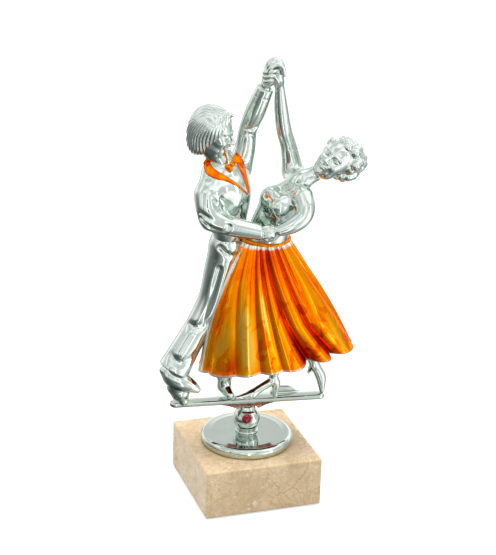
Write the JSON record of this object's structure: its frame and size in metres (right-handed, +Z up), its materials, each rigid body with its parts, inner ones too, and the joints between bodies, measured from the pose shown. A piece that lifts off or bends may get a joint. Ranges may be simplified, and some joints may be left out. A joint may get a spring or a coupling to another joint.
{
  "type": "figure trophy",
  "caption": "Trophy of a ballroom dancing couple in plated plastic with an orange lacquered skirt, on a round foot and a square marble block.",
  "frame": {"origin": "centre of the base's underside, on the surface the trophy stands on, on the axis of the fixing stud", "axes": "+Z up; +X along the block's front face to the viewer's right; -Y out of the front face, towards the viewer"},
  "size_m": [0.0795, 0.05, 0.1856],
  "materials": {
    "marble": "polished",
    "felt": "matte",
    "steel": "satin",
    "brass": "satin",
    "chrome_plating": "polished",
    "orange_lacquer": "gloss"
  },
  "bodies": {
    "base": {"marble_block": "marble", "felt_pad": "felt", "plain_washer": "steel"},
    "figure": {"lock_washer": "steel", "fixing_nut": "steel", "stud": "steel", "stem_insert": "brass", "foot_disc": "chrome_plating", "ball_stem": "chrome_plating", "stage_bar": "chrome_plating", "gent_trousers": "chrome_plating", "gent_right_shoe": "chrome_plating", "gent_left_shoe": "chrome_plating", "gent_jacket": "chrome_plating", "gent_lapels": "orange_lacquer", "gent_bow_tie": "orange_lacquer", "gent_head": "chrome_plating", "gent_holding_arm": "chrome_plating", "gent_holding_hand": "chrome_plating", "gent_raised_arm": "chrome_plating", "clasped_hands": "chrome_plating", "lady_bodice": "chrome_plating", "lady_sash": "orange_lacquer", "lady_head": "chrome_plating", "lady_raised_arm": "chrome_plating", "lady_resting_arm": "chrome_plating", "skirt_front": "orange_lacquer", "skirt_back": "orange_lacquer", "lady_standing_leg": "chrome_plating", "lady_trailing_leg": "chrome_plating"}
  },
  "joints": [
    {"name": "figure_turn", "type": "hinge", "parent": "base", "child": "figure", "pos_m": [0, 0, 0.0218], "axis": [0, 0, 1], "continuous": true}
  ]
}
